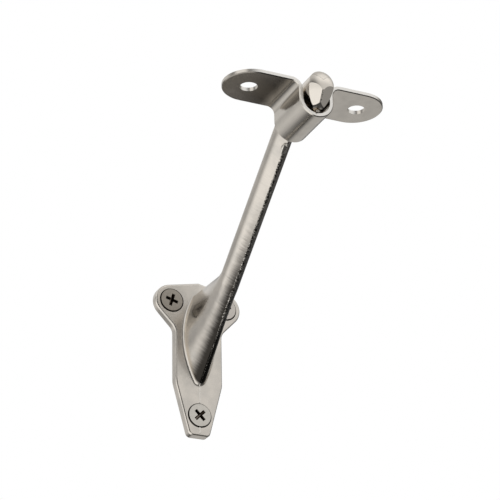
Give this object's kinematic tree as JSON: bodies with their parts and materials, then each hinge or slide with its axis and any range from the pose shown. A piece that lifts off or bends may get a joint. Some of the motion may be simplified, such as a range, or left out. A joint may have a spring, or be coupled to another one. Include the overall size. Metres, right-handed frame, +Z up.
{
  "type": "handrail bracket",
  "caption": "Wall bracket for a handrail: a flat screwed plate, a slanting arm with a round-nosed stub, and a bent strap saddle with drilled ears for the rail.",
  "frame": {"origin": "middle of the wall plate's back face, on the wall", "axes": "+Y into the wall, -Y out towards the rail, +X along the rail, +Z up"},
  "size_m": [0.0566, 0.1322, 0.0909],
  "materials": {
    "cast_nickel": "satin nickel plate on a zinc casting, brushed across the arm",
    "strap_nickel": "satin nickel plate on stamped steel strip",
    "screw_nickel": "nickel plated steel, tumbled"
  },
  "bodies": {
    "root": {"wall_bracket": "cast_nickel", "rail_saddle": "strap_nickel", "wall_screw_left": "screw_nickel", "wall_screw_right": "screw_nickel", "wall_screw_lower": "screw_nickel"}
  },
  "joints": []
}
